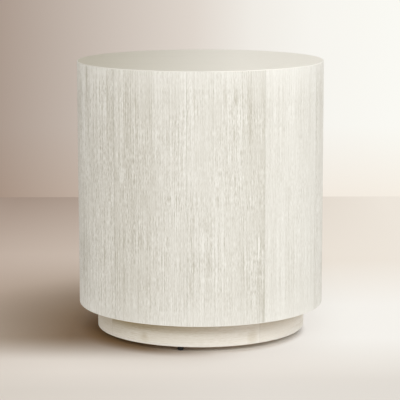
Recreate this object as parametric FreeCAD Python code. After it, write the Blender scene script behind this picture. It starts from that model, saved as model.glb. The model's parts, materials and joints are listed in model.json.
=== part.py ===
import FreeCAD, Part
import math
import os

from FreeCAD import Placement, Rotation, Vector

# Drum side table: a veneered cylinder over a built-up carcass, on a recessed ring plinth with levelling glides.
# Millimetres, +Z up, origin on the floor under the middle of the drum.
# Angles are in degrees about +Z, counted from the front (-Y) towards +X.

# Outside sizes
DRUM_DIAMETER = 508.0
DRUM_HEIGHT = 504.0
PLINTH_SETBACK = 38.0
PLINTH_HEIGHT = 51.0

# Oak veneer
VENEER_THICKNESS = 1.5
VENEER_ARRIS = 1.2
RIM_BEVEL = 1.0
SIDE_LEAF_COUNT = 10
SIDE_SEAM_ANGLE = 29.6
TOP_LEAF_COUNT = 3

# Carcass: two layers of bending plywood round notched formers and uprights
SKIN_THICKNESS = 5.0
GLUE_LINE = 0.1
TOP_THICKNESS = 25.0
BOTTOM_THICKNESS = 18.0
REBATE_HEIGHT = 10.0
FORMER_THICKNESS = 18.0
FORMER_RING_WIDTH = 62.0
MIDDLE_FORMER_HEIGHT_SHARE = 0.5
UPRIGHT_COUNT = 6
UPRIGHT_FIRST_ANGLE = 30.0
UPRIGHT_WIDTH = 40.0
UPRIGHT_DEPTH = 20.0
JOINT_CLEARANCE = 0.15

# Plinth: four sawn quarter rings, dowelled end to end, with a screwed block behind each joint
PLINTH_WALL = 34.0
PLINTH_ARRIS = 2.0
PLINTH_SEGMENT_COUNT = 4
PLINTH_JOINT_ANGLE = -57.0
DOWEL_DIAMETER = 8.0
DOWEL_LENGTH = 40.0
DOWEL_CHAMFER = 1.0
DOWEL_CLEARANCE = 0.1
DOWEL_HEIGHT_SHARES = (0.28, 0.72)
BLOCK_WIDTH = 62.0
BLOCK_DEPTH = 30.0
BLOCK_SETBACK = 11.0
BLOCK_CHAMFER = 6.0

# Countersunk wood screws, all of one gauge
SCREW_DIAMETER = 4.0
SCREW_HEAD_DIAMETER = 8.0
SCREW_POINT_LENGTH = 4.0
SCREW_CLEARANCE = 0.1
TOP_SCREW_BITE = 15.0
BOTTOM_SCREW_BITE = 11.0
PLINTH_SCREW_BITE = 11.0
PLINTH_SCREW_OFFSET = 9.0
BLOCK_SCREW_BITE = 19.0
BLOCK_SCREW_OFFSET = 22.0

# Levelling glides: a stud with a hex collar and a ball end, a snap-on pad and a flanged insert
STUD_DIAMETER = 6.0
STUD_THREAD_LENGTH = 28.0
STUD_CHAMFER = 0.8
STUD_RUNNING_CLEARANCE = 0.06
STUD_HOLE_CLEARANCE = 1.0
HEX_SIDE_COUNT = 6
HEX_ACROSS_FLATS = 10.0
HEX_HEIGHT = 2.9
HEX_SEAT_GAP = 0.1
NECK_DIAMETER = 2.4
BALL_DIAMETER = 4.4
BALL_CLEARANCE = 0.1
PAD_DIAMETER = 12.5
PAD_HEIGHT = 6.0
PAD_FLOOR = 2.0
PAD_EDGE = 1.6
PAD_RIM_EDGE = 0.5
PAD_COLLAR_GAP = 0.4
INSERT_DIAMETER = 10.0
INSERT_LENGTH = 14.0
INSERT_CLEARANCE = 0.1
INSERT_FLANGE_DIAMETER = 14.0
INSERT_FLANGE_THICKNESS = 0.6

# One overrun for every cutting tool that leaves a face
CUT_OVERRUN = 2.0

# Worked-out levels, from the floor up
BALL_CENTRE_Z = PAD_FLOOR + BALL_CLEARANCE + BALL_DIAMETER / 2
HEX_LOW_Z = PAD_HEIGHT + PAD_COLLAR_GAP
HEX_HIGH_Z = HEX_LOW_Z + HEX_HEIGHT
PLINTH_LOW_Z = HEX_HIGH_Z + HEX_SEAT_GAP + INSERT_FLANGE_THICKNESS
PLINTH_HIGH_Z = PLINTH_LOW_Z + PLINTH_HEIGHT
DRUM_LOW_Z = PLINTH_HIGH_Z
DRUM_HIGH_Z = DRUM_LOW_Z + DRUM_HEIGHT
TOP_CORE_HIGH_Z = DRUM_HIGH_Z - VENEER_THICKNESS
TOP_CORE_LOW_Z = TOP_CORE_HIGH_Z - TOP_THICKNESS
BOTTOM_HIGH_Z = DRUM_LOW_Z + BOTTOM_THICKNESS
SKIN_LOW_Z = BOTTOM_HIGH_Z - REBATE_HEIGHT
SKIN_HIGH_Z = TOP_CORE_LOW_Z + REBATE_HEIGHT
BLOCK_HEIGHT = PLINTH_HEIGHT - BLOCK_SETBACK
BLOCK_LOW_Z = PLINTH_HIGH_Z - BLOCK_HEIGHT
PLINTH_MIDDLE_Z = PLINTH_LOW_Z + PLINTH_HEIGHT / 2

# Worked-out radii, from the outside in
DRUM_RADIUS = DRUM_DIAMETER / 2
VENEER_INNER_RADIUS = DRUM_RADIUS - VENEER_THICKNESS
OUTER_SKIN_RADIUS = VENEER_INNER_RADIUS - GLUE_LINE
INNER_SKIN_RADIUS = OUTER_SKIN_RADIUS - SKIN_THICKNESS - GLUE_LINE
FORMER_RADIUS = INNER_SKIN_RADIUS - SKIN_THICKNESS - GLUE_LINE
FORMER_SCREW_RADIUS = FORMER_RADIUS - FORMER_RING_WIDTH / 2
PLINTH_RADIUS = DRUM_RADIUS - PLINTH_SETBACK
PLINTH_INNER_RADIUS = PLINTH_RADIUS - PLINTH_WALL
PLINTH_MIDDLE_RADIUS = PLINTH_RADIUS - PLINTH_WALL / 2
BLOCK_OUTER_RADIUS = PLINTH_INNER_RADIUS - GLUE_LINE
BLOCK_INNER_RADIUS = BLOCK_OUTER_RADIUS - BLOCK_DEPTH

UP = Vector(0, 0, 1)
DOWN = Vector(0, 0, -1)
FULL_TURN = 360.0
HALF_TURN = 180.0
QUARTER_TURN = 90.0


# Places and directions


def polar(radius, angle, z=0):
    """The point at a radius and an angle from the front, at a height."""
    turn = math.radians(angle)
    return Vector(radius * math.sin(turn), -radius * math.cos(turn), z)


def outward(angle):
    return polar(1, angle)


def along_rim(angle):
    """The direction of growing angle at that angle."""
    return polar(1, angle + QUARTER_TURN)


def spread(count, first):
    """Evenly spaced angles round a full turn."""
    return [first + FULL_TURN * index / count for index in range(count)]


def aim(shape, place, direction):
    """Moves a shape that is modelled along +Z from the origin."""
    shape.Placement = Placement(place, Rotation(UP, direction))
    return shape


# Profiles and the solids turned from them


def corner_arc(centre_radius, centre_z, size, rise):
    """A quarter circle that rounds an outer corner: rise is -1 at a lower corner and 1 at an upper one."""
    slant = size * math.sqrt(0.5)
    flat = Vector(centre_radius, 0, centre_z + rise * size)
    middle = Vector(centre_radius + slant, 0, centre_z + rise * slant)
    side = Vector(centre_radius + size, 0, centre_z)
    return flat, middle, side


def wall_profile(inner, outer, low, high, low_arris=0, high_arris=0):
    """A rectangle in the XZ plane, with its outer corners rounded where an arris is given."""
    points = [Vector(inner, 0, low)]
    edges = []

    def line_to(point):
        edges.append(Part.LineSegment(points[-1], point).toShape())
        points.append(point)

    def arc_to(middle, point):
        edges.append(Part.Arc(points[-1], middle, point).toShape())
        points.append(point)

    if low_arris:
        start, middle, end = corner_arc(outer - low_arris, low + low_arris, low_arris, -1)
        line_to(start)
        arc_to(middle, end)
    else:
        line_to(Vector(outer, 0, low))
    if high_arris:
        end, middle, start = corner_arc(outer - high_arris, high - high_arris, high_arris, 1)
        line_to(start)
        arc_to(middle, end)
    else:
        line_to(Vector(outer, 0, high))
    line_to(Vector(inner, 0, high))
    line_to(points[0])
    return Part.Face(Part.Wire(edges))


def polygon_profile(pairs):
    """A closed profile from pairs of radius and height."""
    points = [Vector(radius, 0, z) for radius, z in pairs]
    return Part.Face(Part.makePolygon(points + points[:1]))


def turned(profile, start=0, span=FULL_TURN):
    """A profile revolved about Z, from a start angle over a span."""
    solid = profile.revolve(Vector(), UP, span)
    solid.rotate(Vector(), UP, start - QUARTER_TURN)
    return solid


def ring(inner, outer, low, high, start=0, span=FULL_TURN):
    return turned(wall_profile(inner, outer, low, high), start, span)


def radial_box(inner, outer, width, low, high, angle):
    """A box that points outward at an angle, between two distances from the axis."""
    box = Part.makeBox(outer - inner, width, high - low, Vector(inner, -width / 2, low))
    box.rotate(Vector(), UP, angle - QUARTER_TURN)
    return box


# Fasteners and the holes that they leave


def screw(length, clearance=0):
    """A countersunk screw, head at the origin and point along +Z, or with a clearance the hole for it."""
    shank = SCREW_DIAMETER / 2 + clearance
    head = SCREW_HEAD_DIAMETER / 2 + clearance
    pairs = [
        (0, 0),
        (head, 0),
        (shank, head - shank),
        (shank, length + clearance - SCREW_POINT_LENGTH),
        (0, length + clearance),
    ]
    return turned(polygon_profile(pairs))


def screws(places, length, clearance=0):
    return [aim(screw(length, clearance), place, direction) for place, direction in places]


def dowel(clearance=0):
    """A chamfered dowel centred on the origin along Z, or with a clearance the hole for it."""
    radius = DOWEL_DIAMETER / 2 + clearance
    half = DOWEL_LENGTH / 2 + clearance
    pairs = [
        (0, -half),
        (radius - DOWEL_CHAMFER, -half),
        (radius, DOWEL_CHAMFER - half),
        (radius, half - DOWEL_CHAMFER),
        (radius - DOWEL_CHAMFER, half),
        (0, half),
    ]
    return turned(polygon_profile(pairs))


def dowels(clearance=0):
    heights = [PLINTH_LOW_Z + PLINTH_HEIGHT * share for share in DOWEL_HEIGHT_SHARES]
    return [
        aim(dowel(clearance), polar(PLINTH_MIDDLE_RADIUS, angle, z), along_rim(angle))
        for angle in plinth_joints()
        for z in heights
    ]


def former_screw_places(z, direction):
    """One screw in each bay between two uprights."""
    half_bay = FULL_TURN / UPRIGHT_COUNT / 2
    angles = spread(UPRIGHT_COUNT, UPRIGHT_FIRST_ANGLE + half_bay)
    return [(polar(FORMER_SCREW_RADIUS, angle, z), direction) for angle in angles]


def top_screw_places():
    return former_screw_places(TOP_CORE_LOW_Z - FORMER_THICKNESS, UP)


def bottom_screw_places():
    return former_screw_places(BOTTOM_HIGH_Z + FORMER_THICKNESS, DOWN)


def plinth_screw_places():
    """Two screws up through each joint block into the drum's bottom."""
    radius = BLOCK_OUTER_RADIUS - BLOCK_DEPTH / 2
    return [
        (polar(radius, angle, BLOCK_LOW_Z) + along_rim(angle) * (side * PLINTH_SCREW_OFFSET), UP)
        for angle in plinth_joints()
        for side in (-1, 1)
    ]


def block_screw_places():
    """One screw out through each joint block into each of the two segments that meet there."""
    return [
        (
            polar(BLOCK_INNER_RADIUS, angle, PLINTH_MIDDLE_Z) + along_rim(angle) * (side * BLOCK_SCREW_OFFSET),
            outward(angle),
        )
        for angle in plinth_joints()
        for side in (-1, 1)
    ]


TOP_SCREW_LENGTH = FORMER_THICKNESS + TOP_SCREW_BITE
BOTTOM_SCREW_LENGTH = FORMER_THICKNESS + BOTTOM_SCREW_BITE
PLINTH_SCREW_LENGTH = BLOCK_HEIGHT + PLINTH_SCREW_BITE
BLOCK_SCREW_LENGTH = BLOCK_DEPTH + BLOCK_SCREW_BITE


def fasteners():
    return {
        "top_screws": Part.makeCompound(screws(top_screw_places(), TOP_SCREW_LENGTH)),
        "bottom_screws": Part.makeCompound(screws(bottom_screw_places(), BOTTOM_SCREW_LENGTH)),
        "plinth_screws": Part.makeCompound(screws(plinth_screw_places(), PLINTH_SCREW_LENGTH)),
        "block_screws": Part.makeCompound(screws(block_screw_places(), BLOCK_SCREW_LENGTH)),
        "plinth_dowels": Part.makeCompound(dowels()),
    }


# Drum


def top_core():
    """The top board, rebated under its rim for the two skins."""
    pairs = [
        (0, TOP_CORE_LOW_Z),
        (FORMER_RADIUS, TOP_CORE_LOW_Z),
        (FORMER_RADIUS, SKIN_HIGH_Z),
        (OUTER_SKIN_RADIUS, SKIN_HIGH_Z),
        (OUTER_SKIN_RADIUS, TOP_CORE_HIGH_Z),
        (0, TOP_CORE_HIGH_Z),
    ]
    holes = screws(top_screw_places(), TOP_SCREW_LENGTH, SCREW_CLEARANCE)
    return turned(polygon_profile(pairs)).cut(holes)


def bottom_panel():
    """The bottom board, rebated over its rim for the two skins."""
    pairs = [
        (0, DRUM_LOW_Z),
        (OUTER_SKIN_RADIUS, DRUM_LOW_Z),
        (OUTER_SKIN_RADIUS, SKIN_LOW_Z),
        (FORMER_RADIUS, SKIN_LOW_Z),
        (FORMER_RADIUS, BOTTOM_HIGH_Z),
        (0, BOTTOM_HIGH_Z),
    ]
    holes = screws(bottom_screw_places(), BOTTOM_SCREW_LENGTH, SCREW_CLEARANCE)
    holes += screws(plinth_screw_places(), PLINTH_SCREW_LENGTH, SCREW_CLEARANCE)
    return turned(polygon_profile(pairs)).cut(holes)


def skins():
    """Four half cylinders: the joints of the outer pair are a quarter turn from those of the inner pair."""
    inner = (INNER_SKIN_RADIUS - SKIN_THICKNESS, INNER_SKIN_RADIUS, SKIN_LOW_Z, SKIN_HIGH_Z)
    outer = (OUTER_SKIN_RADIUS - SKIN_THICKNESS, OUTER_SKIN_RADIUS, SKIN_LOW_Z, SKIN_HIGH_Z)
    return {
        "inner_skin_front": ring(*inner, -QUARTER_TURN, HALF_TURN),
        "inner_skin_rear": ring(*inner, QUARTER_TURN, HALF_TURN),
        "outer_skin_right": ring(*outer, 0, HALF_TURN),
        "outer_skin_left": ring(*outer, HALF_TURN, HALF_TURN),
    }


def uprights():
    """Battens from board to board, their outer faces worked to the curve of the inner skin."""
    core = Part.makeCylinder(FORMER_RADIUS, TOP_CORE_LOW_Z - BOTTOM_HIGH_Z, Vector(0, 0, BOTTOM_HIGH_Z))
    made = {}
    for index, angle in enumerate(spread(UPRIGHT_COUNT, UPRIGHT_FIRST_ANGLE), 1):
        inner = FORMER_RADIUS - UPRIGHT_DEPTH
        batten = radial_box(inner, FORMER_RADIUS, UPRIGHT_WIDTH, BOTTOM_HIGH_Z, TOP_CORE_LOW_Z, angle)
        made[f"upright_{index}"] = batten.common(core)
    return made


def former(low, holes):
    """A plywood ring notched at its rim for the uprights."""
    high = low + FORMER_THICKNESS
    notches = [
        radial_box(
            FORMER_RADIUS - UPRIGHT_DEPTH - JOINT_CLEARANCE,
            FORMER_RADIUS + CUT_OVERRUN,
            UPRIGHT_WIDTH + JOINT_CLEARANCE * 2,
            low - CUT_OVERRUN,
            high + CUT_OVERRUN,
            angle,
        )
        for angle in spread(UPRIGHT_COUNT, UPRIGHT_FIRST_ANGLE)
    ]
    return ring(FORMER_RADIUS - FORMER_RING_WIDTH, FORMER_RADIUS, low, high).cut(notches + holes)


def formers():
    clear_height = TOP_CORE_LOW_Z - BOTTOM_HIGH_Z
    middle = BOTTOM_HIGH_Z + clear_height * MIDDLE_FORMER_HEIGHT_SHARE - FORMER_THICKNESS / 2
    top_holes = screws(top_screw_places(), TOP_SCREW_LENGTH, SCREW_CLEARANCE)
    bottom_holes = screws(bottom_screw_places(), BOTTOM_SCREW_LENGTH, SCREW_CLEARANCE)
    return {
        "upper_former": former(TOP_CORE_LOW_Z - FORMER_THICKNESS, top_holes),
        "middle_former": former(middle, []),
        "lower_former": former(BOTTOM_HIGH_Z, bottom_holes),
    }


def side_leaves():
    """Upright veneer leaves round the drum, eased at the lower edge."""
    span = FULL_TURN / SIDE_LEAF_COUNT
    profile = wall_profile(
        VENEER_INNER_RADIUS, DRUM_RADIUS, DRUM_LOW_Z, TOP_CORE_HIGH_Z, low_arris=VENEER_ARRIS
    )
    angles = spread(SIDE_LEAF_COUNT, SIDE_SEAM_ANGLE)
    return {f"side_leaf_{index:02d}": turned(profile, angle, span) for index, angle in enumerate(angles, 1)}


def top_leaves():
    """Veneer leaves side by side across the top, trimmed to the drum and bevelled at the rim."""
    pairs = [
        (0, TOP_CORE_HIGH_Z),
        (DRUM_RADIUS, TOP_CORE_HIGH_Z),
        (DRUM_RADIUS, DRUM_HIGH_Z - RIM_BEVEL),
        (DRUM_RADIUS - RIM_BEVEL, DRUM_HIGH_Z),
        (0, DRUM_HIGH_Z),
    ]
    sheet = turned(polygon_profile(pairs))
    width = DRUM_DIAMETER / TOP_LEAF_COUNT
    made = {}
    for index in range(TOP_LEAF_COUNT):
        corner = Vector(-DRUM_RADIUS, index * width - DRUM_RADIUS, TOP_CORE_HIGH_Z)
        strip = Part.makeBox(DRUM_DIAMETER, width, VENEER_THICKNESS, corner)
        made[f"top_leaf_{index + 1}"] = sheet.common(strip)
    return made


# Plinth


def plinth_joints():
    return spread(PLINTH_SEGMENT_COUNT, PLINTH_JOINT_ANGLE)


def glide_angles():
    """One glide in the middle of each plinth segment."""
    half_segment = FULL_TURN / PLINTH_SEGMENT_COUNT / 2
    return [angle + half_segment for angle in plinth_joints()]


def glide_hole(angle):
    """The stepped hole for an insert, with room for the stud above it."""
    place = polar(PLINTH_MIDDLE_RADIUS, angle, PLINTH_LOW_Z)
    socket = Part.makeCylinder(INSERT_DIAMETER / 2 + INSERT_CLEARANCE, INSERT_LENGTH, place)
    reach = STUD_THREAD_LENGTH + STUD_HOLE_CLEARANCE
    room = Part.makeCylinder(STUD_DIAMETER / 2 + STUD_HOLE_CLEARANCE, reach, place)
    return socket.fuse(room)


def plinth_segments():
    """Quarter rings with an eased lower edge."""
    span = FULL_TURN / PLINTH_SEGMENT_COUNT
    profile = wall_profile(
        PLINTH_INNER_RADIUS, PLINTH_RADIUS, PLINTH_LOW_Z, PLINTH_HIGH_Z, low_arris=PLINTH_ARRIS
    )
    holes = dowels(DOWEL_CLEARANCE)
    holes += screws(block_screw_places(), BLOCK_SCREW_LENGTH, SCREW_CLEARANCE)
    made = {}
    for index, (start, middle) in enumerate(zip(plinth_joints(), glide_angles()), 1):
        made[f"plinth_segment_{index}"] = turned(profile, start, span).cut(holes + [glide_hole(middle)])
    return made


def joint_blocks():
    """Glue blocks fitted to the inside of the ring, with the two inner corners taken off."""
    core = Part.makeCylinder(BLOCK_OUTER_RADIUS, BLOCK_HEIGHT, Vector(0, 0, BLOCK_LOW_Z))
    holes = screws(plinth_screw_places(), PLINTH_SCREW_LENGTH, SCREW_CLEARANCE)
    holes += screws(block_screw_places(), BLOCK_SCREW_LENGTH, SCREW_CLEARANCE)
    half = BLOCK_WIDTH / 2
    outline = [
        Vector(BLOCK_INNER_RADIUS, BLOCK_CHAMFER - half, BLOCK_LOW_Z),
        Vector(BLOCK_INNER_RADIUS + BLOCK_CHAMFER, -half, BLOCK_LOW_Z),
        Vector(BLOCK_OUTER_RADIUS, -half, BLOCK_LOW_Z),
        Vector(BLOCK_OUTER_RADIUS, half, BLOCK_LOW_Z),
        Vector(BLOCK_INNER_RADIUS + BLOCK_CHAMFER, half, BLOCK_LOW_Z),
        Vector(BLOCK_INNER_RADIUS, half - BLOCK_CHAMFER, BLOCK_LOW_Z),
    ]
    made = {}
    for index, angle in enumerate(plinth_joints(), 1):
        block = Part.Face(Part.makePolygon(outline + outline[:1])).extrude(UP * BLOCK_HEIGHT)
        block.rotate(Vector(), UP, angle - QUARTER_TURN)
        made[f"joint_block_{index}"] = block.common(core).cut(holes)
    return made


# Levelling glides, modelled on the Z axis and then set in the plinth


def glide_insert():
    bore = STUD_DIAMETER / 2 + STUD_RUNNING_CLEARANCE
    pairs = [
        (bore, PLINTH_LOW_Z - INSERT_FLANGE_THICKNESS),
        (INSERT_FLANGE_DIAMETER / 2, PLINTH_LOW_Z - INSERT_FLANGE_THICKNESS),
        (INSERT_FLANGE_DIAMETER / 2, PLINTH_LOW_Z),
        (INSERT_DIAMETER / 2, PLINTH_LOW_Z),
        (INSERT_DIAMETER / 2, PLINTH_LOW_Z + INSERT_LENGTH),
        (bore, PLINTH_LOW_Z + INSERT_LENGTH),
    ]
    return turned(polygon_profile(pairs))


def glide_stud():
    """Threaded shank, hex collar, neck and ball in one piece."""
    radius = STUD_DIAMETER / 2
    tip = HEX_HIGH_Z + STUD_THREAD_LENGTH
    shank = [
        (0, HEX_LOW_Z),
        (radius, HEX_LOW_Z),
        (radius, tip - STUD_CHAMFER),
        (radius - STUD_CHAMFER, tip),
        (0, tip),
    ]
    corner = HEX_ACROSS_FLATS / math.sqrt(3)
    corners = [polar(corner, angle, HEX_LOW_Z) for angle in spread(HEX_SIDE_COUNT, 0)]
    collar = Part.Face(Part.makePolygon(corners + corners[:1])).extrude(UP * HEX_HEIGHT)
    neck = Part.makeCylinder(NECK_DIAMETER / 2, HEX_LOW_Z - BALL_CENTRE_Z, Vector(0, 0, BALL_CENTRE_Z))
    ball = Part.makeSphere(BALL_DIAMETER / 2, Vector(0, 0, BALL_CENTRE_Z))
    return turned(polygon_profile(shank)).fuse([collar, neck, ball]).removeSplitter()


def glide_pad():
    """A round pad with a rolled lower edge and a socket that the ball snaps into."""
    body = turned(
        wall_profile(0, PAD_DIAMETER / 2, 0, PAD_HEIGHT, low_arris=PAD_EDGE, high_arris=PAD_RIM_EDGE)
    )
    socket = Part.makeSphere(BALL_DIAMETER / 2 + BALL_CLEARANCE, Vector(0, 0, BALL_CENTRE_Z))
    return body.cut(socket)


def glides():
    made = {}
    pieces = {"insert": glide_insert(), "stud": glide_stud(), "pad": glide_pad()}
    for index, angle in enumerate(glide_angles(), 1):
        for name, shape in pieces.items():
            copy = shape.copy()
            copy.translate(polar(PLINTH_MIDDLE_RADIUS, angle))
            made[f"glide_{name}_{index}"] = copy
    return made


def table():
    return {
        "top_core": top_core(),
        "bottom_panel": bottom_panel(),
        **top_leaves(),
        **side_leaves(),
        **skins(),
        **formers(),
        **uprights(),
        **plinth_segments(),
        **joint_blocks(),
        **glides(),
        **fasteners(),
    }


def main():
    os.makedirs("parts", exist_ok=True)
    for name, shape in table().items():
        shape.exportStep(f"parts/{name}.step")


main()
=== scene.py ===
"""Drum side table in whitewashed oak: veneer leaves, plinth, levelling glides, studio floor, lamps and camera."""

import json
import math

import bmesh
import bpy
from mathutils import Matrix, Vector


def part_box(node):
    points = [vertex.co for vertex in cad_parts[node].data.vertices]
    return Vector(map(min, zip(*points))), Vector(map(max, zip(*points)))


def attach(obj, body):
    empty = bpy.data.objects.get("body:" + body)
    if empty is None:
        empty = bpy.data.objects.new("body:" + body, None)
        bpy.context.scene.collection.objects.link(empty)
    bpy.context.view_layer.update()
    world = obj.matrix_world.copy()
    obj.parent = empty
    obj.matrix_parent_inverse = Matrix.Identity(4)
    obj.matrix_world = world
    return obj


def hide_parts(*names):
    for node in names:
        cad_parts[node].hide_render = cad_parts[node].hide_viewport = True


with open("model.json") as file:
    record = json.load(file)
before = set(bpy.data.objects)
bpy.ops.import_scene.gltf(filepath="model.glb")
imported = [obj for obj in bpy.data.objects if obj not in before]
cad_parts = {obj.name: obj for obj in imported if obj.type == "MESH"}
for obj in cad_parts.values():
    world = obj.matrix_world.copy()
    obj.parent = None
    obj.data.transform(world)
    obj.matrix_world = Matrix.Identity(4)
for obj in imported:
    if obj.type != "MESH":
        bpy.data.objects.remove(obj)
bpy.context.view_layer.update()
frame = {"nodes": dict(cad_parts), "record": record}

MM = 0.001
FULL_TURN = 360.0
QUARTER_TURN = 90.0
MERGE_DISTANCE = 1e-6
CUT_TOLERANCE = 1e-7
LEVEL_TOLERANCE = 0.01 * MM
SHARP_ANGLE = 32.0

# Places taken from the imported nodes
TOP_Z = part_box("top_leaf_2")[1].z
TOP_LEAF_LOW_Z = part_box("top_leaf_2")[0].z
DRUM_LOW_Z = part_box("side_leaf_01")[0].z
DRUM_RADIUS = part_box("top_leaf_2")[1].x
PLINTH_LOW_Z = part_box("plinth_segment_1")[0].z
PLINTH_HIGH_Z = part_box("plinth_segment_1")[1].z

# Oak leaves and plinth segments; angles in degrees from the front (-Y) towards +X
LEAF_COUNT = 10
LEAF_SEAM_ANGLE = 29.6
LEAF_STEPS = 30
LEAF_THICKNESS = 1.5 * MM
LEAF_ARRIS = 1.2 * MM
TOP_LEAF_COUNT = 3
RIM_STEPS = 300
TOP_RINGS = 12
RIM_BEVEL = 1.0 * MM
SEGMENT_COUNT = 4
SEGMENT_JOINT_ANGLE = -57.0
SEGMENT_STEPS = 72
PLINTH_RADIUS = 216.0 * MM
PLINTH_WALL = 34.0 * MM
PLINTH_ARRIS = 2.0 * MM

# Each leaf or segment has its own whole metre of the grain map, and starts this far into it
GRAIN_MARGIN = 0.1
FIRST_TOP_GRAIN = 10
FIRST_PLINTH_GRAIN = 13

# Look of each leaf: tone at its first and last edge, 0 greige and 1 chalky, and how strongly its grain is drawn
LEAF_LOOKS = {
    1: (0.74, 0.68, 0.48),
    2: (0.45, 0.60, 0.90),
    7: (0.40, 0.60, 1.35),
    8: (0.62, 0.38, 1.40),
    9: (0.24, 0.78, 0.84),
    10: (0.62, 0.24, 0.72),
}
PLAIN_LOOK = (0.50, 0.50, 1.00)

# The wash lies thicker towards the drum's two rims: how far in, how much paler, and how much calmer the grain is there
EDGE_WASH_REACH = 0.065
EDGE_WASH = 0.35
EDGE_CALM = 0.5

# Tone of each plinth segment at its first and last end, and how much paler its painted light makes it at the foot than
# at the head
SEGMENT_TONES = {1: (0.55, 1.12), 2: (1.00, 1.07), 3: (1.07, 0.94), 4: (0.94, 0.60)}
SEGMENT_SHADE_FADE = 0.53

# Painted shade under the drum's overhang: the share of the height where it starts, how dark it is at each segment's
# first end, the share of the length where it stays as dark, and the share over which it then fades out
HEAD_START = 0.4
HEAD_ROWS = 6
HEAD_CURVE = 1.5
HEAD_SHADE = {1: 1.2, 2: 0.3, 3: 0.4, 4: 0.4}
HEAD_FULL = 0.25
HEAD_RUN = 0.6

# Tone of the top: at the middle, the rise of its painted reflection for each metre to the right, and its limits
TOP_TONE = 0.90
TOP_REFLECTION_RISE = 5.1
TOP_TONE_LIMITS = (-0.25, 1.30)

# Marks: piece number in the grain map, place and reach across and along the grain, and depth, which is below zero for
# a paler mark
SIDE_MARKS = [
    (10, (0.097, 0.507), (0.006, 0.012), 0.35),
    (10, (0.128, 0.502), (0.003, 0.090), 0.30),
    (10, (0.157, 0.092), (0.003, 0.070), 0.40),
    (10, (0.146, 0.212), (0.0018, 0.032), -1.10),
    (10, (0.0072, 0.261), (0.0016, 0.034), 0.40),
    (10, (0.0069, 0.138), (0.0016, 0.038), 0.45),
    (10, (0.0079, 0.444), (0.0014, 0.042), 0.30),
    (9, (0.054, 0.504), (0.0022, 0.018), 0.35),
    (8, (0.148, 0.189), (0.0030, 0.018), 0.40),
    (8, (0.0646, 0.530), (0.0050, 0.060), 0.75),
    (8, (0.0680, 0.450), (0.0040, 0.060), 0.40),
]
PLINTH_MARKS = [
    (FIRST_PLINTH_GRAIN + 1, (0.024, 0.094), (0.014, 0.012), 0.20),
    (FIRST_PLINTH_GRAIN + 1, (0.022, 0.322), (0.024, 0.014), 0.22),
]

# Levelling glides
GLIDE_COUNT = 4
GLIDE_RADIUS = 199.0 * MM
GLIDE_ANGLE = -12.0
PAD_RADIUS = 6.25 * MM
PAD_HEIGHT = 6.0 * MM
PAD_EDGE = 1.6 * MM
PAD_EDGE_STEPS = 6
PAD_RIM_EDGE = 0.5 * MM
PAD_STEPS = 48
BALL_Z = 4.3 * MM
BALL_RADIUS = 2.2 * MM
BALL_STEPS = 12
SOCKET_RADIUS = 2.3 * MM
SOCKET_STEPS = 10
PAD_MOUTH = math.sqrt(SOCKET_RADIUS**2 - (PAD_HEIGHT - BALL_Z) ** 2)
NECK_RADIUS = 1.2 * MM
STUD_STEPS = 24
HEX_LOW_Z = 6.4 * MM
HEX_HIGH_Z = 9.3 * MM
HEX_CORNER_RADIUS = 10.0 * MM / math.sqrt(3)
HEX_TURN = 30.0
HEX_BEVEL = 0.15 * MM
THREAD_LENGTH = 28.0 * MM
THREAD_PITCH = 1.0 * MM
THREAD_CREST = 3.0 * MM
THREAD_ROOT = 2.45 * MM
THREAD_STEPS = 14

# Shares of the thread's pitch: half its foot, half its crest, how deep its foot is sunk, and the taper of the tip
THREAD_FOOT = 0.46
THREAD_FLAT = 0.069
THREAD_SUNK = 0.1
TIP_TAPER = 0.6

# Room for a glide in its plinth segment: the insert's socket, the stud's hole above it, and the patch opened for them
SOCKET_BORE_RADIUS = 5.1 * MM
SOCKET_BORE_DEPTH = 14.0 * MM
STUD_BORE_RADIUS = 4.0 * MM
STUD_BORE_DEPTH = 29.0 * MM
BORE_STEPS = 40
BORE_PATCH = 8.0 * MM


def polar(radius, angle, z=0.0):
    turn = math.radians(angle)
    return Vector((radius * math.sin(turn), -radius * math.cos(turn), z))


def srgb(red, green, blue):
    """A screen colour, 0 to 255 a channel, as linear light with full alpha."""
    scaled = [value / 255 for value in (red, green, blue)]
    linear = [v / 12.92 if v <= 0.04045 else ((v + 0.055) / 1.055) ** 2.4 for v in scaled]
    return (*linear, 1.0)


# Shader maths


class Value:
    """A shader socket that can be used in arithmetic."""

    def __init__(self, finish, socket):
        self.finish = finish
        self.socket = socket

    def math(self, operation, *others):
        return self.finish.node("ShaderNodeMath", {"operation": operation}, dict(enumerate((self, *others))))

    def __add__(self, other):
        return self.math("ADD", other)

    def __sub__(self, other):
        return self.math("SUBTRACT", other)

    def __mul__(self, other):
        return self.math("MULTIPLY", other)

    def __truediv__(self, other):
        return self.math("DIVIDE", other)

    def __rsub__(self, other):
        return self.finish.node("ShaderNodeMath", {"operation": "SUBTRACT"}, {0: other, 1: self})

    __radd__ = __add__
    __rmul__ = __mul__


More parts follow.
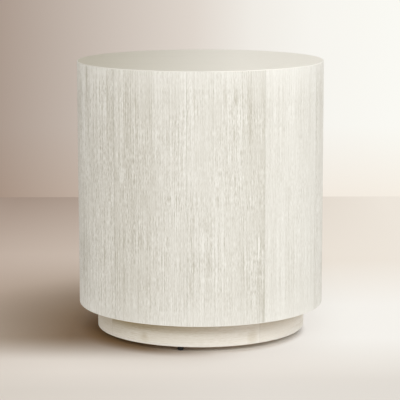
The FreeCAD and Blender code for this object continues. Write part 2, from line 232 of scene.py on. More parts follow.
class Finish:
    """A material or world whose nodes are added one call at a time."""

    def __init__(self, owner):
        self.owner = owner
        owner.use_nodes = True
        self.tree = owner.node_tree
        self.tree.nodes.clear()

    def node(self, kind, settings=None, sockets=None, output=0):
        """Adds a node, with its settings first and then its sockets, and gives one of its outputs."""
        made = self.tree.nodes.new(kind)
        for name, setting in (settings or {}).items():
            if name == "stops":
                self.set_stops(made.color_ramp, setting)
            else:
                setattr(made, name, setting)
        for name, value in (sockets or {}).items():
            if isinstance(value, Value):
                self.tree.links.new(value.socket, made.inputs[name])
            else:
                made.inputs[name].default_value = value
        return Value(self, made.outputs[output]) if made.outputs else made

    @staticmethod
    def set_stops(ramp, stops):
        while len(ramp.elements) < len(stops):
            ramp.elements.new(1.0)
        for element, (place, colour) in zip(ramp.elements, stops):
            element.position = place
            element.color = colour

    def vector(self, x, y, z):
        return self.node("ShaderNodeCombineXYZ", {}, {"X": x, "Y": y, "Z": z})

    def noise(self, vector, detail=2.0, roughness=0.5, distortion=0.0):
        sockets = {"Vector": vector, "Scale": 1.0, "Detail": detail, "Roughness": roughness, "Distortion": distortion}
        return self.node("ShaderNodeTexNoise", {}, sockets)

    def ramp(self, value, low, high):
        """0 below low, 1 above high and a straight rise between."""
        sockets = {"Value": value, "From Min": low, "From Max": high}
        return self.node("ShaderNodeMapRange", {"clamp": True}, sockets)

    def soft_ramp(self, value, low, high):
        """0 at low and 1 at high, with soft ends."""
        sockets = {"Value": value, "From Min": low, "From Max": high}
        return self.node("ShaderNodeMapRange", {"interpolation_type": "SMOOTHSTEP"}, sockets)

    def mix(self, share, first, second, blend="MIX"):
        settings = {"data_type": "RGBA", "blend_type": blend}
        return self.node("ShaderNodeMix", settings, {0: share, 6: first, 7: second}, output=2)

    def bump(self, height, distance):
        return self.node("ShaderNodeBump", {}, {"Height": height, "Distance": distance})

    def surface(self, **sockets):
        """The main shader, with socket names written with underscores."""
        named = {name.replace("_", " "): value for name, value in sockets.items()}
        shader = self.node("ShaderNodeBsdfPrincipled", {}, named)
        self.node("ShaderNodeOutputMaterial", {}, {"Surface": shader})
        return self.owner

    def split(self, vector):
        """The three values of a vector."""
        parts = self.tree.nodes.new("ShaderNodeSeparateXYZ")
        self.tree.links.new(vector.socket, parts.inputs[0])
        return [Value(self, output) for output in parts.outputs]

    def place(self):
        """Object coordinates as three values."""
        return self.split(self.node("ShaderNodeTexCoord", {}, {}, output="Object"))

    def ray(self, kind):
        """1 for rays of a kind, such as Is Camera Ray, and 0 for all others."""
        return self.node("ShaderNodeLightPath", {}, {}, output=kind)

    def stops(self, value, stops):
        """A colour for a value from 0 to 1, from a list of places and colours."""
        return self.node("ShaderNodeValToRGB", {"stops": stops}, {0: value})

    def attribute(self, name):
        """A number that the piece's points carry."""
        return self.node("ShaderNodeAttribute", {"attribute_name": name}, {}, output="Fac")

    def grain(self):
        """The piece's own map: across the grain and along it, in metres."""
        return self.split(self.node("ShaderNodeUVMap", {"uv_map": "grain"}))[:2]


def finish_named(name):
    return Finish(bpy.data.materials.new(name))


# Finishes


def whitewashed_oak(name, greige, chalk, contrast, brushing, roughness, marks=(), butted=False):
    """Brushed oak under a white wash: pale lime in the open grain, greyed lines between and a few broad bands."""
    f = finish_named(name)
    across, along = f.grain()
    number = across.math("FLOOR")
    own = across - number - GRAIN_MARGIN
    # Tone of each point; on the top and the plinth it also carries painted light and shade
    tone = f.attribute("tone")
    figure = f.attribute("figure")
    arris = f.attribute("arris")

    def layer(start, lines_across, lines_along, seed, detail=2.0, roughness=0.5):
        """Noise with so many lines to the metre across the grain and along it."""
        return f.noise(f.vector(start * lines_across, along * lines_along, seed), detail, roughness)

    drift = layer(across, 7.0, 2.2, seed=3.0)
    patch = layer(across, 18.0, 9.0, seed=7.0)
    x = across + (drift - 0.5) * 0.008 + slant(f, number, own, along)
    broad = layer(x, 26.0, 1.5, seed=1.0, detail=1.0)
    bands = layer(x, 150.0, 3.5, seed=2.0, detail=1.0)
    lines = layer(x, 760.0, 3.0, seed=5.0, detail=0.0)
    strokes = layer(x, 800.0, 24.0, seed=6.0, detail=0.0)
    dashes = layer(x, 850.0, 100.0, seed=9.0, detail=1.0, roughness=0.6)
    pore = layer(x, 1700.0, 45.0, seed=13.0, detail=1.0)

    strength = (f.ramp(patch, 0.3, 0.7) + 0.55) * figure
    fine = (lines - 0.5) * 1.2 + (strokes - 0.5) * 1.1 + (dashes - 0.5) * 1.8 + (bands - 0.5) * 0.3
    lime = fine * strength + (broad - 0.5) * 0.3
    dark_pore = f.ramp(pore, 0.60, 0.74)
    shade = lime * contrast + (tone - 0.5) * 0.5 + 0.55
    for mark in marks:
        shade = shade - spot(f, number, own, along, *mark)

    colour = f.mix(f.ramp(shade, 0.0, 1.0), greige, chalk)
    colour = f.mix(dark_pore * (0.2 * contrast), colour, srgb(170, 163, 146))
    seam = 1.0 - f.ramp(along if butted else own, 0.0, 0.0008)
    colour = f.mix(seam * 0.5, colour, srgb(150, 143, 126))
    # Painted highlight along the rounded arrises
    colour = f.mix(arris * 0.55, colour, srgb(250, 249, 243))

    relief = f.ramp(lime, -1.0, 1.0) - dark_pore * 0.3 - seam
    gloss = f.ramp(shade, 0.0, 1.0) * 0.12 + roughness
    return f.surface(Base_Color=colour, Roughness=gloss, Normal=f.bump(relief, brushing), Specular_IOR_Level=0.4)


def on_leaf(number, leaf):
    return number.math("COMPARE", leaf, 0.5)


def slant(f, number, own, along):
    """The grain of the tenth leaf leans over beside its last edge, where the cut ran through a cathedral."""
    lean = f.ramp(TOP_Z - along, 0.0, 0.26) * -0.012
    return on_leaf(number, 10) * f.ramp(own, 0.06, 0.155) * lean


def spot(f, number, own, along, leaf, place, reach, depth):
    """A soft oval mark on one piece, fading from its centre to nothing at its reach."""
    out = (own - place[0]) / reach[0]
    up = (along - place[1]) / reach[1]
    return on_leaf(number, leaf) * f.ramp(out * out + up * up, 1.0, 0.0) * depth


def fibreboard(name):
    f = finish_named(name)
    x, y, z = f.place()
    fleck = f.noise(f.vector(x * 900.0, y * 900.0, z * 900.0), 3.0, 0.7)
    cloud = f.noise(f.vector(x * 14.0, y * 14.0, z * 14.0), 2.0)
    colour = f.mix(f.ramp(fleck, 0.35, 0.65), srgb(146, 100, 54), srgb(164, 118, 70))
    colour = f.mix(f.ramp(cloud, 0.35, 0.7) * 0.4, colour, srgb(134, 90, 48))
    return f.surface(Base_Color=colour, Roughness=0.75, Normal=f.bump(fleck, 0.0001))


def plywood(name, face_colour, ply_colour):
    """Straight face grain, and thin plies on the cut edges."""
    f = finish_named(name)
    x, y, z = f.place()
    figure = f.noise(f.vector(x * 60.0, y * 60.0, z * 5.0), 3.0, 0.6)
    fibre = f.noise(f.vector(x * 700.0, y * 700.0, z * 25.0), 2.0)
    ply = (z * 1100.0).math("SINE")
    colour = f.mix(f.ramp(figure, 0.35, 0.65), face_colour, ply_colour)
    colour = f.mix(f.ramp(ply, 0.2, 0.6) * 0.25, colour, srgb(150, 112, 74))
    return f.surface(Base_Color=colour, Roughness=0.7, Normal=f.bump(fibre, 0.0001))


def softwood(name):
    f = finish_named(name)
    x, y, z = f.place()
    ring = f.noise(f.vector(x * 90.0, y * 90.0, z * 3.0), 2.0, 0.5, 0.6)
    rings = (ring * 40.0).math("SINE")
    fibre = f.noise(f.vector(x * 800.0, y * 800.0, z * 20.0), 2.0)
    colour = f.mix(f.ramp(rings, -0.4, 0.9), srgb(226, 196, 148), srgb(204, 164, 108))
    colour = f.mix(f.ramp(fibre, 0.4, 0.7) * 0.25, colour, srgb(184, 142, 92))
    return f.surface(Base_Color=colour, Roughness=0.65, Normal=f.bump(fibre, 0.00012))


def zinc_plate(name):
    f = finish_named(name)
    x, y, z = f.place()
    cloud = f.noise(f.vector(x * 300.0, y * 300.0, z * 300.0), 3.0, 0.6)
    colour = f.mix(f.ramp(cloud, 0.35, 0.65), srgb(186, 186, 180), srgb(160, 160, 152))
    return f.surface(
        Base_Color=colour, Metallic=1.0, Roughness=f.ramp(cloud, 0.3, 0.7) * 0.15 + 0.28, Normal=f.bump(cloud, 0.00002)
    )


def black_plate(name):
    f = finish_named(name)
    x, y, z = f.place()
    cloud = f.noise(f.vector(x * 500.0, y * 500.0, z * 500.0), 3.0, 0.6)
    colour = f.mix(f.ramp(cloud, 0.35, 0.65), srgb(26, 25, 24), srgb(44, 42, 40))
    return f.surface(
        Base_Color=colour, Metallic=0.6, Roughness=f.ramp(cloud, 0.3, 0.7) * 0.2 + 0.35, Normal=f.bump(cloud, 0.00002)
    )


def black_nylon(name):
    f = finish_named(name)
    x, y, z = f.place()
    skin = f.noise(f.vector(x * 1800.0, y * 1800.0, z * 1800.0), 2.0, 0.6)
    scuff = f.noise(f.vector(x * 220.0, y * 220.0, z * 40.0), 3.0, 0.65)
    colour = f.mix(f.ramp(scuff, 0.55, 0.75) * 0.5, srgb(20, 17, 16), srgb(52, 48, 45))
    return f.surface(Base_Color=colour, Roughness=f.ramp(scuff, 0.4, 0.7) * 0.2 + 0.45, Normal=f.bump(skin, 0.00004))


# Mesh helpers


def settle(mesh, name, body, material, node):
    """Turns a bmesh into a smooth-shaded piece that rides on a body and stands for its CAD node."""
    bmesh.ops.remove_doubles(mesh, verts=mesh.verts, dist=MERGE_DISTANCE)
    bmesh.ops.recalc_face_normals(mesh, faces=mesh.faces)
    for face in mesh.faces:
        face.smooth = True
    for edge in mesh.edges:
        edge.smooth = len(edge.link_faces) == 2 and edge.calc_face_angle(0.0) < math.radians(SHARP_ANGLE)
    data = bpy.data.meshes.new(name)
    mesh.to_mesh(data)
    mesh.free()
    piece = bpy.data.objects.new(name, data)
    bpy.context.scene.collection.objects.link(piece)
    data.materials.append(material)
    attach(piece, body)
    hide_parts(node)


def turn_profile(mesh, points, start, span, steps):
    """Spins a closed profile of radius and height about Z over part of a turn."""
    face = mesh.faces.new([mesh.verts.new(polar(radius, start, z)) for radius, z in points])
    bmesh.ops.spin(
        mesh,
        geom=[face, *face.edges, *face.verts],
        cent=(0, 0, 0),
        axis=(0, 0, 1),
        angle=math.radians(span),
        steps=steps,
        use_merge=False,
        use_duplicate=False,
    )


def turn_whole(mesh, points, steps, centre=(0.0, 0.0, 0.0), start=QUARTER_TURN):
    """Spins a profile that ends on the axis through a whole turn, and merges the points on the axis."""
    corners = [mesh.verts.new(polar(radius, start, z) + Vector(centre)) for radius, z in points]
    edges = [mesh.edges.new(pair) for pair in zip(corners, corners[1:])]
    bmesh.ops.spin(
        mesh,
        geom=[*corners, *edges],
        cent=centre,
        axis=(0, 0, 1),
        angle=math.tau,
        steps=steps,
        use_merge=True,
        use_duplicate=False,
    )
    bmesh.ops.remove_doubles(mesh, verts=mesh.verts, dist=MERGE_DISTANCE)


def corner(radius, z, size, rise, steps=4):
    """Points of a rounded outer corner: from the flat to the side at a lower one (rise -1), back at an upper one."""
    angles = [math.pi / 2 * index / steps for index in range(steps + 1)]
    points = [
        (radius - size + size * math.sin(a), z - rise * size + rise * size * math.cos(a)) for a in angles
    ]
    return points if rise < 0 else points[::-1]


def chart(mesh, across_along, on_arris, tone, figure=lambda point: 1.0):
    """Gives every face corner its grain place, and every point its arris, its tone and its strength of figure."""
    layer = mesh.loops.layers.uv.new("grain")
    arris_layer = mesh.verts.layers.float.new("arris")
    tone_layer = mesh.verts.layers.float.new("tone")
    figure_layer = mesh.verts.layers.float.new("figure")
    for vert in mesh.verts:
        vert[arris_layer] = 1.0 if on_arris(vert.co) else 0.0
        vert[tone_layer] = tone(vert.co)
        vert[figure_layer] = figure(vert.co)
    for face in mesh.faces:
        for loop in face.loops:
            loop[layer].uv = across_along(loop.vert.co)


def angle_of(point, near):
    """The angle of a point from the front, in the turn nearest to another angle."""
    angle = math.degrees(math.atan2(point.x, -point.y))
    return angle + FULL_TURN * round((near - angle) / FULL_TURN)


# Pieces


def side_leaf(index, material):
    span = FULL_TURN / LEAF_COUNT
    start = LEAF_SEAM_ANGLE + span * (index - 1)
    inner = DRUM_RADIUS - LEAF_THICKNESS
    arris_top = DRUM_LOW_Z + LEAF_ARRIS
    mesh = bmesh.new()
    profile = [
        (inner, DRUM_LOW_Z),
        *corner(DRUM_RADIUS, DRUM_LOW_Z, LEAF_ARRIS, -1),
        (DRUM_RADIUS, arris_top + LEAF_ARRIS),
        (DRUM_RADIUS, DRUM_LOW_Z + EDGE_WASH_REACH),
        (DRUM_RADIUS, TOP_LEAF_LOW_Z - EDGE_WASH_REACH),
        (DRUM_RADIUS, TOP_LEAF_LOW_Z),
        (inner, TOP_LEAF_LOW_Z),
    ]
    turn_profile(mesh, profile, start, span, LEAF_STEPS)
    first, last, figure = LEAF_LOOKS.get(index, PLAIN_LOOK)

    def share(point):
        return (angle_of(point, start + span / 2) - start) / span

    def grain_place(point):
        return index + GRAIN_MARGIN + share(point) * math.radians(span) * DRUM_RADIUS, point.z

    def edge_wash(point):
        from_edge = min(point.z - DRUM_LOW_Z, TOP_LEAF_LOW_Z - point.z)
        return max(1.0 - from_edge / EDGE_WASH_REACH, 0.0)

    def tone(point):
        return first + (last - first) * share(point) ** 2 + EDGE_WASH * edge_wash(point)

    def drawn(point):
        return figure * (1.0 - EDGE_CALM * edge_wash(point))

    chart(mesh, grain_place, lambda point: point.z < arris_top + LEAF_ARRIS / 2, tone, drawn)
    settle(mesh, f"oak_leaf_{index:02d}", "table", material, f"side_leaf_{index:02d}")


def top_leaf(index, material):
    width = DRUM_RADIUS * 2 / TOP_LEAF_COUNT
    low = width * (index - 1) - DRUM_RADIUS
    flat_radius = DRUM_RADIUS - RIM_BEVEL * 2
    mesh = bmesh.new()
    profile = [
        (0.0, TOP_LEAF_LOW_Z),
        (DRUM_RADIUS, TOP_LEAF_LOW_Z),
        *corner(DRUM_RADIUS, TOP_Z, RIM_BEVEL, 1),
        *[(flat_radius * (TOP_RINGS - ring) / TOP_RINGS, TOP_Z) for ring in range(TOP_RINGS + 1)],
    ]
    turn_whole(mesh, profile, RIM_STEPS, start=LEAF_SEAM_ANGLE)
    for y, side in ((low, -1), (low + width, 1)):
        if abs(y) > flat_radius:
            continue
        geometry = [*mesh.verts, *mesh.edges, *mesh.faces]
        cut = bmesh.ops.bisect_plane(
            mesh, geom=geometry, plane_co=(0, y, 0), plane_no=(0, side, 0), clear_outer=True, dist=CUT_TOLERANCE
        )
        rim = [item for item in cut["geom_cut"] if isinstance(item, bmesh.types.BMEdge)]
        bmesh.ops.edgeloop_fill(mesh, edges=rim)

    def grain_place(point):
        return FIRST_TOP_GRAIN + index + GRAIN_MARGIN + point.y - low, point.x

    def on_arris(point):
        return math.hypot(point.x, point.y) > flat_radius + RIM_BEVEL / 2

    def tone(point):
        """Painted reflection: greyer to the left and chalkier to the right."""
        greyest, chalkiest = TOP_TONE_LIMITS
        return min(max(TOP_TONE + TOP_REFLECTION_RISE * point.x, greyest), chalkiest)

    chart(mesh, grain_place, on_arris, tone)
    settle(mesh, f"oak_top_leaf_{index}", "table", material, f"top_leaf_{index}")


def glide_place(index):
    return polar(GLIDE_RADIUS, GLIDE_ANGLE + FULL_TURN / GLIDE_COUNT * (index - 1))


def glide_bore(mesh, index):
    """Opens the lower face of a plinth segment and sets the stepped hole for its glide in the opening."""
    centre = glide_place(index)
    opened = []
    for face in mesh.faces:
        middle = face.calc_center_median()
        if abs(middle.z - PLINTH_LOW_Z) < LEVEL_TOLERANCE and (middle - centre).xy.length < BORE_PATCH:
            opened.append(face)
    bmesh.ops.delete(mesh, geom=opened, context="FACES")
    profile = [
        (SOCKET_BORE_RADIUS, PLINTH_LOW_Z),
        (SOCKET_BORE_RADIUS, PLINTH_LOW_Z + SOCKET_BORE_DEPTH),
        (STUD_BORE_RADIUS, PLINTH_LOW_Z + SOCKET_BORE_DEPTH),
        (STUD_BORE_RADIUS, PLINTH_LOW_Z + STUD_BORE_DEPTH),
        (0.0, PLINTH_LOW_Z + STUD_BORE_DEPTH),
    ]
    turn_whole(mesh, profile, BORE_STEPS, centre)
    rims = [edge for edge in mesh.edges if edge.is_boundary]
    bmesh.ops.triangle_fill(mesh, edges=rims, normal=(0, 0, -1), use_beauty=True)


def plinth_segment(index, material):
    span = FULL_TURN / SEGMENT_COUNT
    start = SEGMENT_JOINT_ANGLE + span * (index - 1)
    inner = PLINTH_RADIUS - PLINTH_WALL
    height = PLINTH_HIGH_Z - PLINTH_LOW_Z
    arris_top = PLINTH_LOW_Z + PLINTH_ARRIS
    head_row = height * (1.0 - HEAD_START) / HEAD_ROWS
    mesh = bmesh.new()
    profile = [
        (inner, PLINTH_LOW_Z),
        *corner(PLINTH_RADIUS, PLINTH_LOW_Z, PLINTH_ARRIS, -1),
        (PLINTH_RADIUS, arris_top + PLINTH_ARRIS),
        *[(PLINTH_RADIUS, PLINTH_HIGH_Z - head_row * row) for row in range(HEAD_ROWS, -1, -1)],
        (inner, PLINTH_HIGH_Z),
    ]
    turn_profile(mesh, profile, start, span, SEGMENT_STEPS)
    glide_bore(mesh, index)
    first, last = SEGMENT_TONES[index]

    def grain_place(point):
        depth = PLINTH_RADIUS - math.hypot(point.x, point.y)
        turn = math.radians(angle_of(point, start + span / 2) - start)
        return FIRST_PLINTH_GRAIN + index + GRAIN_MARGIN + point.z + depth, turn * PLINTH_RADIUS

    def outside(point):
        return math.hypot(point.x, point.y) > PLINTH_RADIUS - PLINTH_ARRIS * 1.5

    def on_arris(point):
        return outside(point) and point.z < arris_top + PLINTH_ARRIS / 2

    def tone(point):
        share = (angle_of(point, start + span / 2) - start) / span
        rise = (point.z - PLINTH_LOW_Z) / height
        # Painted light and shade: paler towards the foot, which the floor lights, and darker towards the head
        wash = first + (last - first) * share + SEGMENT_SHADE_FADE * (0.5 - rise)
        if not outside(point):
            return wash
        # Painted shade under the drum's overhang, darkest near each segment's first end
        head_shade = HEAD_SHADE[index] * max(1.0 - max(share - HEAD_FULL, 0.0) / HEAD_RUN, 0.0)
        head = min(max((rise - HEAD_START) / HEAD_START, 0.0), 1.0) ** HEAD_CURVE
        return wash - head_shade * head

    chart(mesh, grain_place, on_arris, tone)
    settle(mesh, f"oak_plinth_{index}", "table", material, f"plinth_segment_{index}")


def glide_pad(index, material):
    """A pad with a rounded foot and a socket for the stud's ball."""
    mesh = bmesh.new()
    mouth = math.asin(PAD_MOUTH / SOCKET_RADIUS)
    angles = [mouth + (math.pi - mouth) * step / SOCKET_STEPS for step in range(1, SOCKET_STEPS)]
    profile = [
        (0.0, 0.0),
        *corner(PAD_RADIUS, 0.0, PAD_EDGE, -1, PAD_EDGE_STEPS),
        *corner(PAD_RADIUS, PAD_HEIGHT, PAD_RIM_EDGE, 1),
        (PAD_MOUTH, PAD_HEIGHT),
        *[(SOCKET_RADIUS * math.sin(a), BALL_Z + SOCKET_RADIUS * math.cos(a)) for a in angles],
        (0.0, BALL_Z - SOCKET_RADIUS),
    ]
    turn_whole(mesh, profile, PAD_STEPS, start=0.0)
    bmesh.ops.translate(mesh, verts=mesh.verts, vec=glide_place(index))
    settle(mesh, f"nylon_pad_{index}", f"pad_{index}", material, f"glide_pad_{index}")


def glide_stud(index, material):
    """Ball, neck, bevelled hex collar and a threaded shank."""
    mesh = bmesh.new()
    tip = HEX_HIGH_Z + THREAD_LENGTH
    ball_span = math.pi - math.asin(NECK_RADIUS / BALL_RADIUS)
    angles = [ball_span * step / BALL_STEPS for step in range(BALL_STEPS + 1)]
    profile = [
        *[(BALL_RADIUS * math.sin(a), BALL_Z - BALL_RADIUS * math.cos(a)) for a in angles],
        (NECK_RADIUS, HEX_LOW_Z),
        (THREAD_ROOT, HEX_LOW_Z),
        (THREAD_ROOT, tip - THREAD_PITCH),
        (THREAD_ROOT - THREAD_PITCH * TIP_TAPER, tip),
        (0.0, tip),
    ]
    turn_whole(mesh, profile, STUD_STEPS, start=0.0)
    thread(mesh, HEX_HIGH_Z, tip)
    hex_collar(mesh)
    bmesh.ops.translate(mesh, verts=mesh.verts, vec=glide_place(index))
    settle(mesh, f"steel_stud_{index}", f"stud_{index}", material, f"glide_stud_{index}")


def thread(mesh, low, high):
    """One helical ridge, right-handed, that starts and ends a pitch inside the shank."""
    count = int(((high - low) / THREAD_PITCH - 2.0) * THREAD_STEPS)
    middle = low + THREAD_PITCH
    foot, flat = THREAD_PITCH * THREAD_FOOT, THREAD_PITCH * THREAD_FLAT
    sunk = THREAD_ROOT - THREAD_PITCH * THREAD_SUNK
    profile = [
        (sunk, middle - foot),
        (THREAD_CREST, middle - flat),
        (THREAD_CREST, middle + flat),
        (sunk, middle + foot),
    ]
    face = mesh.faces.new([mesh.verts.new(polar(radius, 0.0, z)) for radius, z in profile])
    bmesh.ops.spin(
        mesh,
        geom=[face, *face.edges, *face.verts],
        cent=(0, 0, 0),
        axis=(0, 0, 1),
        dvec=(0, 0, THREAD_PITCH / THREAD_STEPS),
        angle=math.tau * count / THREAD_STEPS,
        steps=count,
        use_merge=False,
        use_duplicate=False,
    )


def hex_collar(mesh):
    place = Matrix.Translation((0, 0, (HEX_LOW_Z + HEX_HIGH_Z) / 2))
    made = bmesh.ops.create_cone(
        mesh,
        cap_ends=True,
        segments=6,
        radius1=HEX_CORNER_RADIUS,
        radius2=HEX_CORNER_RADIUS,
        depth=HEX_HIGH_Z - HEX_LOW_Z,
        matrix=place @ Matrix.Rotation(math.radians(HEX_TURN), 4, "Z"),
    )
    edges = {edge for vert in made["verts"] for edge in vert.link_edges}
    bmesh.ops.bevel(
        mesh, geom=list(edges), offset=HEX_BEVEL, segments=2, profile=0.5, affect="EDGES", material=-1
    )


def dress_table():
    side = whitewashed_oak(
        "whitewashed_side_oak",
        greige=srgb(199, 195, 182),
        chalk=srgb(246, 245, 239),
        contrast=1.0,
        brushing=0.0004,
        roughness=0.55,
        marks=SIDE_MARKS,
    )
    # The top's greige is dark enough to carry its painted reflection, greyest to the left
    top = whitewashed_oak(
        "whitewashed_top_oak",
        greige=srgb(182, 176, 156),
        chalk=srgb(247, 243, 231),
        contrast=0.08,
        brushing=0.00003,
        roughness=0.45,
    )
    # The plinth's greige is dark and warm enough to carry the painted shade under the drum
    plinth = whitewashed_oak(
        "whitewashed_plinth_oak",
        greige=srgb(190, 175, 136),
        chalk=srgb(254, 252, 244),
        contrast=0.2,
        brushing=0.0001,
        roughness=0.5,
        marks=PLINTH_MARKS,
        butted=True,
    )
    for index in range(1, LEAF_COUNT + 1):
        side_leaf(index, side)
    for index in range(1, TOP_LEAF_COUNT + 1):
        top_leaf(index, top)
    for index in range(1, SEGMENT_COUNT + 1):
        plinth_segment(index, plinth)
    nylon = black_nylon("black_moulded_nylon")
    steel = black_plate("black_plated_steel")
    for index in range(1, GLIDE_COUNT + 1):
        glide_pad(index, nylon)
        glide_stud(index, steel)
    kept = {
        "core_board": fibreboard("sealed_fibreboard"),
        "bending_ply": plywood("bending_plywood", srgb(206, 174, 130), srgb(192, 156, 110)),
        "former_ply": plywood("birch_plywood", srgb(220, 192, 150), srgb(202, 170, 126)),
        "softwood": softwood("planed_softwood"),
        "dowel_beech": softwood("turned_beech"),
        "zinc_steel": zinc_plate("zinc_plated_steel"),
    }
    for part in frame["record"]["subparts"]:
        if part["material_slot"] in kept:
            node = frame["nodes"][part["node"]]
            node.data.materials.clear()
            node.data.materials.append(kept[part["material_slot"]])


# Studio

FLOOR_REACH = 12.0
BACKDROP_Y = 1.67
FILL_STRENGTH = 0.63
LAMP_AIM_HEIGHT = 0.3
SIDE_LAMP_ANGLE = 77.0
SIDE_LAMP_DISTANCE = 2.6
SIDE_LAMP_HEIGHT = 1.35
SIDE_LAMP_SIZE = 1.4
SIDE_LAMP_POWER = 13.5
FRONT_LAMP_ANGLE = -4.0
FRONT_LAMP_DISTANCE = 4.4
FRONT_LAMP_HEIGHT = 3.05
FRONT_LAMP_SIZE = 2.4
FRONT_LAMP_POWER = 92.0

# Strength of each patch of painted light and shade on the floor
FAR_CORNER_SHADE = 0.6
LIGHT_POOL = 0.8
LIGHT_BAND = 0.45
LONG_SHADOW = 0.876
CONTACT_SHADOW = 0.85


def floor_tone(f, x, y, away):
    """The floor's colour with painted light and shade: darker left, paler right, the table's soft painted shadow to
    the left.
    """
    cloud = (f.noise(f.vector(x * 1.2, y * 1.2, 0.0)) - 0.5) * 0.1
    side = f.ramp(x + cloud, -0.55, 0.55)
    # Painted light: the floor darker to the left and paler to the right
    far_stops = [
        (0.0, srgb(198, 180, 166)),
        (0.5, srgb(217, 204, 191)),
        (0.8, srgb(239, 230, 218)),
        (1.0, srgb(240, 232, 221)),
    ]
    near_stops = [(0.0, srgb(216, 207, 196)), (0.6, srgb(227, 221, 213)), (1.0, srgb(226, 221, 213))]
    tone = f.mix(f.ramp(y + cloud, 0.3, -0.45), f.stops(side, far_stops), f.stops(side, near_stops))
    # Painted shade in the far left corner, towards the backdrop
    far_left_shade = f.ramp(y, 0.8, BACKDROP_Y) * (1.0 - side)
    tone = f.mix(far_left_shade * FAR_CORNER_SHADE, tone, srgb(146, 124, 110))
    pool = f.ramp(x, -0.3, 0.3) * f.ramp(y, 0.7, 0.2) * f.ramp(y, -0.42, -0.1)
    tone = f.mix(pool * LIGHT_POOL, tone, srgb(250, 248, 243))
    band = f.ramp(y, -0.48, -0.36) * f.ramp(y, -0.2, -0.28) * (1.0 - side) * f.ramp(x, -0.55, -0.25)
    tone = f.mix(band * LIGHT_BAND, tone, srgb(248, 240, 231))
    shade = srgb(124, 95, 57)
    along_y = f.soft_ramp(y, -0.283, -0.066) * f.soft_ramp(y, 0.8, 0.044)
    along_x = f.ramp(x, -0.68, -0.268) * f.ramp(x, 0.05, -0.15)
    tone = f.mix(along_y * along_x * LONG_SHADOW, tone, shade)
    contact = f.soft_ramp(away.math("SQRT"), 0.264, 0.212) * f.ramp(x, 0.03, -0.12)
    return side, f.mix(contact * CONTACT_SHADOW, tone, shade)


def floor_paint():
    """Paint that is partly self-lit for the camera away from the table, so that the floor stays pale.

    It is clear from below, and inside the plinth ring to all rays but the camera's, so that the underside is lit.
    """
    f = finish_named("pale_floor")
    x, y, _ = f.place()
    away = x * x + y * y
    side, tone = floor_tone(f, x, y, away)
    seen = f.ray("Is Camera Ray")
    # Other rays see a plainer colour, which still carries painted shade to the left
    bounce = f.mix(side, srgb(214, 206, 194), srgb(240, 236, 230))
    colour = f.mix(seen, bounce, tone)
    paint = f.node("ShaderNodeBsdfPrincipled", {}, {"Base Color": colour, "Roughness": 0.8, "Specular IOR Level": 0.2})
    bright = f.node("ShaderNodeEmission", {}, {"Color": tone, "Strength": 1.0})
    clear = f.node("ShaderNodeBsdfTransparent")
    lean = x * 0.2 + x.math("MAXIMUM", 0.0) * 0.5 - y * 0.2
    open_floor = f.ramp(away + lean, 0.055, 0.18) * f.soft_ramp(away + y * 0.03, 0.0400, 0.0490) * (side * 0.3 + 0.6)
    paint = f.node("ShaderNodeMixShader", {}, {0: seen * open_floor, 1: paint, 2: bright})
    below = f.node("ShaderNodeNewGeometry", {}, {}, output="Backfacing")
    hollow = (1.0 - seen) * f.ramp(away, 0.03, 0.02)
    shown = f.node("ShaderNodeMixShader", {}, {0: below.math("MAXIMUM", hollow), 1: paint, 2: clear})
    f.node("ShaderNodeOutputMaterial", {}, {"Surface": shown})
    return f.owner


def floor():
    """A sheet that ends at the backdrop."""
    mesh = bmesh.new()
    bmesh.ops.create_grid(mesh, x_segments=8, y_segments=8, size=FLOOR_REACH)
    bmesh.ops.bisect_plane(
        mesh,
        geom=[*mesh.verts, *mesh.edges, *mesh.faces],
        plane_co=(0, BACKDROP_Y, 0),
        plane_no=(0, 1, 0),
        clear_outer=True,
    )
    data = bpy.data.meshes.new("floor")
    mesh.to_mesh(data)
    mesh.free()
    data.materials.append(floor_paint())
    sheet = bpy.data.objects.new("floor", data)
    bpy.context.scene.collection.objects.link(sheet)


def area_lamp(name, place, size, power):
    data = bpy.data.lights.new(name, "AREA")
    data.shape = "DISK"
    data.size = size
    data.energy = power
    lamp = bpy.data.objects.new(name, data)
    lamp.location = place
    lamp.rotation_euler = (Vector((0, 0, LAMP_AIM_HEIGHT)) - place).to_track_quat("-Z", "Y").to_euler()
    bpy.context.scene.collection.objects.link(lamp)


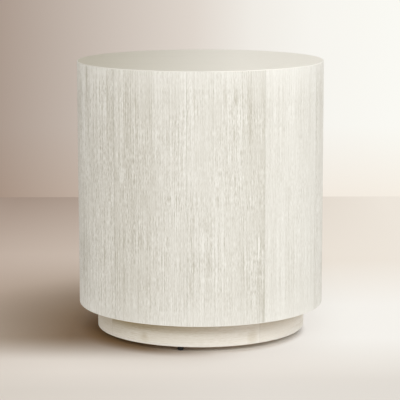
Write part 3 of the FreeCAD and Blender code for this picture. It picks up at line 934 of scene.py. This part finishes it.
def backdrop():
    """A plain fill that lights the table, and a pale gradient that only the camera and reflections see."""
    world = bpy.data.worlds.new("studio")
    bpy.context.scene.world = world
    f = Finish(world)
    sideways, _, upward = f.split(f.node("ShaderNodeTexCoord", {}, {}, output="Generated"))
    # Painted light on the backdrop: darker to the left, paler to the right, and slightly darker and warmer lower down
    stops = [
        (0.0, srgb(170, 153, 141)),
        (0.5, srgb(223, 214, 205)),
        (0.65, srgb(240, 236, 229)),
        (0.8, srgb(247, 245, 239)),
        (1.0, srgb(250, 249, 243)),
    ]
    tones = f.stops(f.ramp(sideways, -0.11, 0.11), stops)
    tones = f.mix(f.ramp(upward, -0.125, -0.165), tones, srgb(250, 243, 237), "MULTIPLY")
    shown = f.node("ShaderNodeBackground", {}, {"Color": tones, "Strength": 1.0})
    fill = f.node("ShaderNodeBackground", {}, {"Color": (1.0, 1.0, 1.0, 1.0), "Strength": FILL_STRENGTH})
    seen = f.ray("Is Camera Ray")
    for kind in ("Is Glossy Ray", "Is Transmission Ray"):
        seen = seen.math("MAXIMUM", f.ray(kind))
    sky = f.node("ShaderNodeMixShader", {}, {0: seen, 1: fill, 2: shown})
    f.node("ShaderNodeOutputWorld", {}, {"Surface": sky})


def studio():
    floor()
    backdrop()
    side_place = polar(SIDE_LAMP_DISTANCE, SIDE_LAMP_ANGLE, SIDE_LAMP_HEIGHT)
    front_place = polar(FRONT_LAMP_DISTANCE, FRONT_LAMP_ANGLE, FRONT_LAMP_HEIGHT)
    area_lamp("side_lamp", side_place, SIDE_LAMP_SIZE, SIDE_LAMP_POWER)
    area_lamp("front_lamp", front_place, FRONT_LAMP_SIZE, FRONT_LAMP_POWER)


# Camera: lens and place found from the drum's outline, the two rims and the plinth
CAMERA_LENS = 161.31
CAMERA_PLACE = (-0.01412, -3.68832, 0.89351)
CAMERA_PITCH = 9.569
CAMERA_ROLL = -0.096
CAMERA_YAW = -0.2


def camera():
    data = bpy.data.cameras.new("camera")
    data.lens = CAMERA_LENS
    data.sensor_width = 36.0
    view = bpy.data.objects.new("camera", data)
    turn = Matrix.Rotation(math.radians(CAMERA_YAW), 4, "Z")
    turn = turn @ Matrix.Rotation(math.radians(90.0 - CAMERA_PITCH), 4, "X")
    turn = turn @ Matrix.Rotation(math.radians(CAMERA_ROLL), 4, "Z")
    view.matrix_world = Matrix.Translation(CAMERA_PLACE) @ turn
    bpy.context.scene.collection.objects.link(view)
    bpy.context.scene.camera = view


dress_table()
studio()
camera()
bpy.context.scene.view_settings.view_transform = "Standard"
